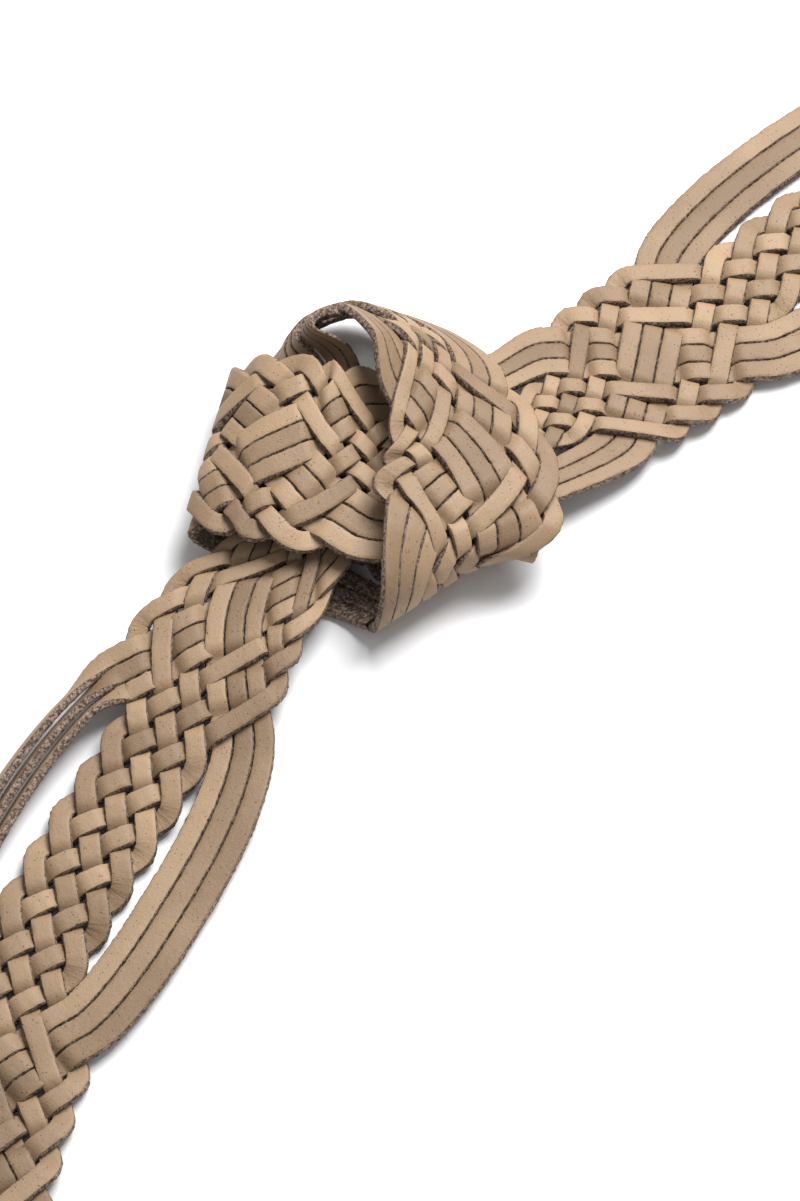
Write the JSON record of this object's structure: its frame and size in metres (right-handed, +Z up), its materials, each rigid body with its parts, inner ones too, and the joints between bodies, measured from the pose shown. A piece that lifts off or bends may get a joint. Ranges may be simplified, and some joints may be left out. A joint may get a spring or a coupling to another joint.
{
  "type": "leather belt",
  "caption": "Flat-braided openwork leather belt tied in a loose overhand knot, with a punched leather tip, a keeper, and a buckle whose frame and prong swing.",
  "frame": {"origin": "under the middle of the belt's bounding box, on the plane that it lies on", "axes": "+Z up from the plane that the belt lies on; +Y along the belt's tip tail, away from the point; +X along the buckle tail, towards the buckle's front"},
  "size_m": [0.4732, 0.4974, 0.0289],
  "materials": {
    "lace_leather": "matt vegetable-tanned grain with raw fuzzy cut edges",
    "end_leather": "matt vegetable-tanned grain with stitched and smoothed edges",
    "buckle_metal": "brushed, slightly dulled"
  },
  "bodies": {
    "belt": {"bundle_a_lace_1": "lace_leather", "bundle_a_lace_2": "lace_leather", "bundle_a_lace_3": "lace_leather", "bundle_b_lace_1": "lace_leather", "bundle_b_lace_2": "lace_leather", "bundle_b_lace_3": "lace_leather", "single_lace_1": "lace_leather", "single_lace_2": "lace_leather", "single_lace_3": "lace_leather", "single_lace_4": "lace_leather", "single_lace_5": "lace_leather", "single_lace_6": "lace_leather", "tip_upper_leather": "end_leather", "tip_lower_leather": "end_leather", "chape": "end_leather", "keeper": "end_leather", "chape_rivet_1": "buckle_metal", "chape_rivet_2": "buckle_metal"},
    "frame": {"buckle_frame": "buckle_metal"},
    "prong": {"buckle_prong": "buckle_metal"}
  },
  "joints": [
    {"name": "frame_hinge", "type": "hinge", "parent": "belt", "child": "frame", "pos_m": [0.1936, 0.22106, 0.0042], "axis": [0, -1, 0], "range_deg": [-80, 55]},
    {"name": "prong_hinge", "type": "hinge", "parent": "frame", "child": "prong", "pos_m": [0.1936, 0.22106, 0.0042], "axis": [0, -1, 0], "range_deg": [0, 95]}
  ]
}
